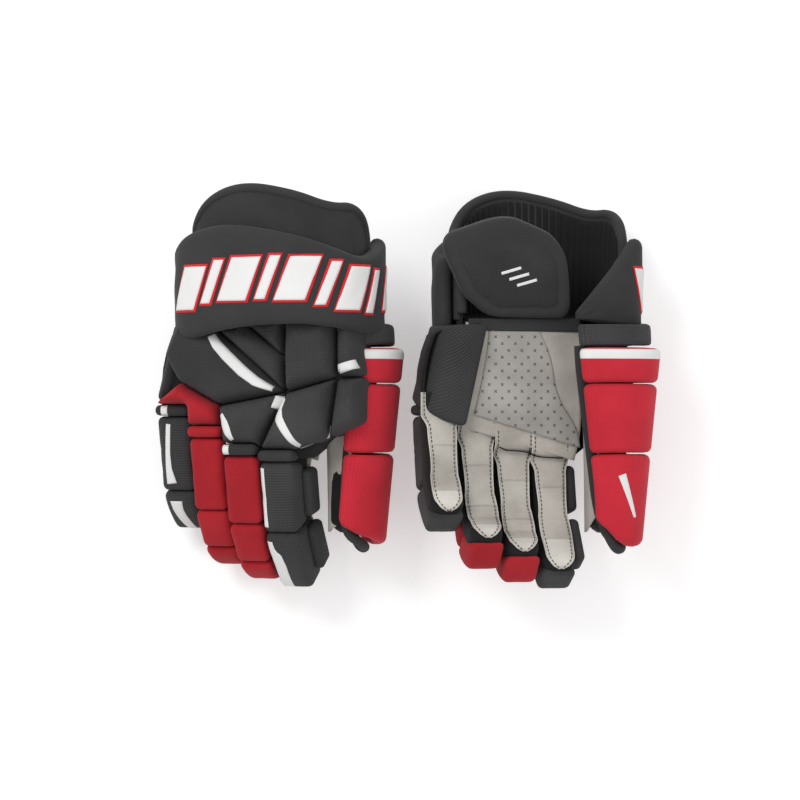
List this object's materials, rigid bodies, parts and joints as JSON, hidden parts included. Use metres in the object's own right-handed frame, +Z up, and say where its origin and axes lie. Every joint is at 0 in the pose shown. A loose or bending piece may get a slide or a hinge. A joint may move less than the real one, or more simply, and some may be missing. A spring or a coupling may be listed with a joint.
{
  "type": "ice hockey gloves",
  "caption": "Pair of padded ice hockey gloves with segmented fingers, wide cuff band, palm leather and folding wrist flap, one laid palm down and one palm up.",
  "frame": {"origin": "centre of the pair's footprint, on the surface that it lies on", "axes": "+X across the pair, from the right-hand glove to the left-hand glove; +Y from the fingertips towards the cuffs; +Z up"},
  "size_m": [0.423, 0.3446, 0.1483],
  "materials": {
    "black_twill": "matte heavy twill",
    "red_weave": "matte woven nylon",
    "cuff_knit": "smooth matte knit",
    "mesh_cloth": "open mesh cloth",
    "stretch_cloth": "black stretch cloth",
    "palm_hide": "light grey suede",
    "overlay_hide": "grey suede with a printed grid of crosses",
    "guard_plastic": "moulded plate"
  },
  "bodies": {
    "glove_pair": {"wrist_collars": "mesh_cloth", "backhand_outer_pads": "black_twill", "backhand_wrist_pads": "black_twill", "backhand_centre_rolls": "black_twill", "index_knuckle_pads": "black_twill", "ring_knuckle_pads": "red_weave", "middle_knuckle_pads": "black_twill", "knuckle_rolls": "black_twill", "backhand_plates": "guard_plastic", "palm_leathers": "palm_hide", "palm_overlays": "overlay_hide", "hand_gussets": "stretch_cloth", "thumb_base_pads": "red_weave", "thumb_base_sleeves": "palm_hide"},
    "right_index_base": {"right_index_base_pad": "black_twill", "right_index_base_sleeve": "stretch_cloth"},
    "right_index_tip": {"right_index_tip_pad": "black_twill", "right_index_tip_sleeve": "stretch_cloth"},
    "right_middle_base": {"right_middle_base_pad": "red_weave", "right_middle_base_sleeve": "stretch_cloth"},
    "right_middle_mid": {"right_middle_mid_pad": "red_weave", "right_middle_mid_sleeve": "stretch_cloth"},
    "right_middle_tip": {"right_middle_tip": "red_weave"},
    "right_ring_base": {"right_ring_base_pad": "red_weave", "right_ring_base_sleeve": "stretch_cloth"},
    "right_ring_mid": {"right_ring_mid_pad": "red_weave", "right_ring_mid_sleeve": "stretch_cloth"},
    "right_ring_tip": {"right_ring_tip": "red_weave"},
    "right_pinky_base": {"right_pinky_base_pad": "black_twill", "right_pinky_base_sleeve": "stretch_cloth"},
    "right_pinky_tip": {"right_pinky_tip_pad": "black_twill", "right_pinky_tip_sleeve": "stretch_cloth"},
    "right_thumb": {"right_thumb_tip_pad": "red_weave", "right_thumb_guard": "guard_plastic", "right_thumb_tip_sleeve": "palm_hide"},
    "right_cuff": {"right_cuff_band": "cuff_knit"},
    "right_flap": {"right_palm_flap": "mesh_cloth"},
    "left_index_base": {"left_index_base_pad": "black_twill", "left_index_base_sleeve": "stretch_cloth"},
    "left_index_tip": {"left_index_tip_pad": "black_twill", "left_index_tip_sleeve": "stretch_cloth"},
    "left_middle_base": {"left_middle_base_pad": "red_weave", "left_middle_base_sleeve": "stretch_cloth"},
    "left_middle_mid": {"left_middle_mid_pad": "red_weave", "left_middle_mid_sleeve": "stretch_cloth"},
    "left_middle_tip": {"left_middle_tip": "red_weave"},
    "left_ring_base": {"left_ring_base_pad": "red_weave", "left_ring_base_sleeve": "stretch_cloth"},
    "left_ring_mid": {"left_ring_mid_pad": "red_weave", "left_ring_mid_sleeve": "stretch_cloth"},
    "left_ring_tip": {"left_ring_tip": "red_weave"},
    "left_pinky_base": {"left_pinky_base_pad": "black_twill", "left_pinky_base_sleeve": "stretch_cloth"},
    "left_pinky_tip": {"left_pinky_tip_pad": "black_twill", "left_pinky_tip_sleeve": "stretch_cloth"},
    "left_thumb": {"left_thumb_tip_pad": "red_weave", "left_thumb_guard": "guard_plastic", "left_thumb_tip_sleeve": "palm_hide"},
    "left_cuff": {"left_cuff_band": "cuff_knit"},
    "left_flap": {"left_palm_flap": "mesh_cloth"}
  },
  "joints": [
    {"name": "right_index_knuckle", "type": "hinge", "parent": "glove_pair", "child": "right_index_base", "pos_m": [-0.09804, -0.06006, 0.08482], "axis": [0.9455, 0, 0.3256], "range_deg": [0, 40], "stiffness_Nm_per_rad": 0.35},
    {"name": "right_index_middle_bend", "type": "hinge", "parent": "right_index_base", "child": "right_index_tip", "pos_m": [-0.09452, -0.11092, 0.0746], "axis": [0.9455, 0, 0.3256], "range_deg": [0, 45], "stiffness_Nm_per_rad": 0.25},
    {"name": "right_middle_knuckle", "type": "hinge", "parent": "glove_pair", "child": "right_middle_base", "pos_m": [-0.1291, -0.05506, 0.07519], "axis": [0.9455, 0, 0.3256], "range_deg": [0, 40], "stiffness_Nm_per_rad": 0.35},
    {"name": "right_middle_middle_bend", "type": "hinge", "parent": "right_middle_base", "child": "right_middle_mid", "pos_m": [-0.12572, -0.10397, 0.06536], "axis": [0.9455, 0, 0.3256], "range_deg": [0, 45], "stiffness_Nm_per_rad": 0.25},
    {"name": "right_middle_tip_bend", "type": "hinge", "parent": "right_middle_mid", "child": "right_middle_tip", "pos_m": [-0.12057, -0.12829, 0.05043], "axis": [0.9455, 0, 0.3256], "range_deg": [0, 27], "stiffness_Nm_per_rad": 0.2},
    {"name": "right_ring_knuckle", "type": "hinge", "parent": "glove_pair", "child": "right_ring_base", "pos_m": [-0.15885, -0.04006, 0.06177], "axis": [0.9455, 0, 0.3256], "range_deg": [0, 40], "stiffness_Nm_per_rad": 0.35},
    {"name": "right_ring_middle_bend", "type": "hinge", "parent": "right_ring_base", "child": "right_ring_mid", "pos_m": [-0.1552, -0.09288, 0.05116], "axis": [0.9455, 0, 0.3256], "range_deg": [0, 45], "stiffness_Nm_per_rad": 0.25},
    {"name": "right_ring_tip_bend", "type": "hinge", "parent": "right_ring_mid", "child": "right_ring_tip", "pos_m": [-0.15023, -0.11636, 0.03674], "axis": [0.9455, 0, 0.3256], "range_deg": [0, 27], "stiffness_Nm_per_rad": 0.2},
    {"name": "right_pinky_knuckle", "type": "hinge", "parent": "glove_pair", "child": "right_pinky_base", "pos_m": [-0.1873, -0.02206, 0.04457], "axis": [0.9455, 0, 0.3256], "range_deg": [0, 40], "stiffness_Nm_per_rad": 0.35},
    {"name": "right_pinky_middle_bend", "type": "hinge", "parent": "right_pinky_base", "child": "right_pinky_tip", "pos_m": [-0.18351, -0.07683, 0.03356], "axis": [0.9455, 0, 0.3256], "range_deg": [0, 45], "stiffness_Nm_per_rad": 0.25},
    {"name": "right_thumb_bend", "type": "hinge", "parent": "glove_pair", "child": "right_thumb", "pos_m": [-0.05551, -0.05306, 0.09799], "axis": [-0.9455, 0, -0.3256], "range_deg": [0, 25], "stiffness_Nm_per_rad": 0.35},
    {"name": "right_cuff_swing", "type": "hinge", "parent": "glove_pair", "child": "right_cuff", "pos_m": [-0.11786, 0.06034, 0.12242], "axis": [0.9455, 0, 0.3256], "range_deg": [0, 12], "stiffness_Nm_per_rad": 0.5},
    {"name": "right_flap_fold", "type": "hinge", "parent": "glove_pair", "child": "right_flap", "pos_m": [-0.12888, 0.05574, 0.05305], "axis": [-0.9455, 0, -0.3256], "range_deg": [0, 60], "stiffness_Nm_per_rad": 0.12},
    {"name": "left_index_knuckle", "type": "hinge", "parent": "glove_pair", "child": "left_index_base", "pos_m": [0.12076, -0.06006, 0.06269], "axis": [-0.9703, 0, 0.2419], "range_deg": [0, 40], "stiffness_Nm_per_rad": 0.35},
    {"name": "left_index_middle_bend", "type": "hinge", "parent": "left_index_base", "child": "left_index_tip", "pos_m": [0.12338, -0.11092, 0.07318], "axis": [-0.9703, 0, 0.2419], "range_deg": [0, 45], "stiffness_Nm_per_rad": 0.25},
    {"name": "left_middle_knuckle", "type": "hinge", "parent": "glove_pair", "child": "left_middle_base", "pos_m": [0.08899, -0.05506, 0.06958], "axis": [-0.9703, 0, 0.2419], "range_deg": [0, 40], "stiffness_Nm_per_rad": 0.35},
    {"name": "left_middle_middle_bend", "type": "hinge", "parent": "left_middle_base", "child": "left_middle_mid", "pos_m": [0.0915, -0.10397, 0.07967], "axis": [-0.9703, 0, 0.2419], "range_deg": [0, 45], "stiffness_Nm_per_rad": 0.25},
    {"name": "left_middle_tip_bend", "type": "hinge", "parent": "left_middle_mid", "child": "left_middle_tip", "pos_m": [0.09532, -0.12829, 0.09499], "axis": [-0.9703, 0, 0.2419], "range_deg": [0, 27], "stiffness_Nm_per_rad": 0.2},
    {"name": "left_ring_knuckle", "type": "hinge", "parent": "glove_pair", "child": "left_ring_base", "pos_m": [0.05818, -0.04006, 0.08035], "axis": [-0.9703, 0, 0.2419], "range_deg": [0, 40], "stiffness_Nm_per_rad": 0.35},
    {"name": "left_ring_middle_bend", "type": "hinge", "parent": "left_ring_base", "child": "left_ring_mid", "pos_m": [0.0609, -0.09288, 0.09125], "axis": [-0.9703, 0, 0.2419], "range_deg": [0, 45], "stiffness_Nm_per_rad": 0.25},
    {"name": "left_ring_tip_bend", "type": "hinge", "parent": "left_ring_mid", "child": "left_ring_tip", "pos_m": [0.06458, -0.11636, 0.10604], "axis": [-0.9703, 0, 0.2419], "range_deg": [0, 27], "stiffness_Nm_per_rad": 0.2},
    {"name": "left_pinky_knuckle", "type": "hinge", "parent": "glove_pair", "child": "left_pinky_base", "pos_m": [0.02834, -0.02206, 0.09501], "axis": [-0.9703, 0, 0.2419], "range_deg": [0, 40], "stiffness_Nm_per_rad": 0.35},
    {"name": "left_pinky_middle_bend", "type": "hinge", "parent": "left_pinky_base", "child": "left_pinky_tip", "pos_m": [0.03115, -0.07683, 0.10631], "axis": [-0.9703, 0, 0.2419], "range_deg": [0, 45], "stiffness_Nm_per_rad": 0.25},
    {"name": "left_thumb_bend", "type": "hinge", "parent": "glove_pair", "child": "left_thumb", "pos_m": [0.16428, -0.05306, 0.05328], "axis": [0.9703, 0, -0.2419], "range_deg": [0, 25], "stiffness_Nm_per_rad": 0.35},
    {"name": "left_cuff_swing", "type": "hinge", "parent": "glove_pair", "child": "left_cuff", "pos_m": [0.1043, 0.06034, 0.02351], "axis": [-0.9703, 0, 0.2419], "range_deg": [0, 12], "stiffness_Nm_per_rad": 0.5},
    {"name": "left_flap_fold", "type": "hinge", "parent": "glove_pair", "child": "left_flap", "pos_m": [0.08728, 0.05574, 0.09165], "axis": [0.9703, 0, -0.2419], "range_deg": [0, 60], "stiffness_Nm_per_rad": 0.12}
  ],
  "couplings": [
    {"joint": "right_middle_tip_bend", "follows": "right_middle_middle_bend", "ratio": 0.6},
    {"joint": "right_ring_tip_bend", "follows": "right_ring_middle_bend", "ratio": 0.6},
    {"joint": "left_middle_tip_bend", "follows": "left_middle_middle_bend", "ratio": 0.6},
    {"joint": "left_ring_tip_bend", "follows": "left_ring_middle_bend", "ratio": 0.6}
  ]
}
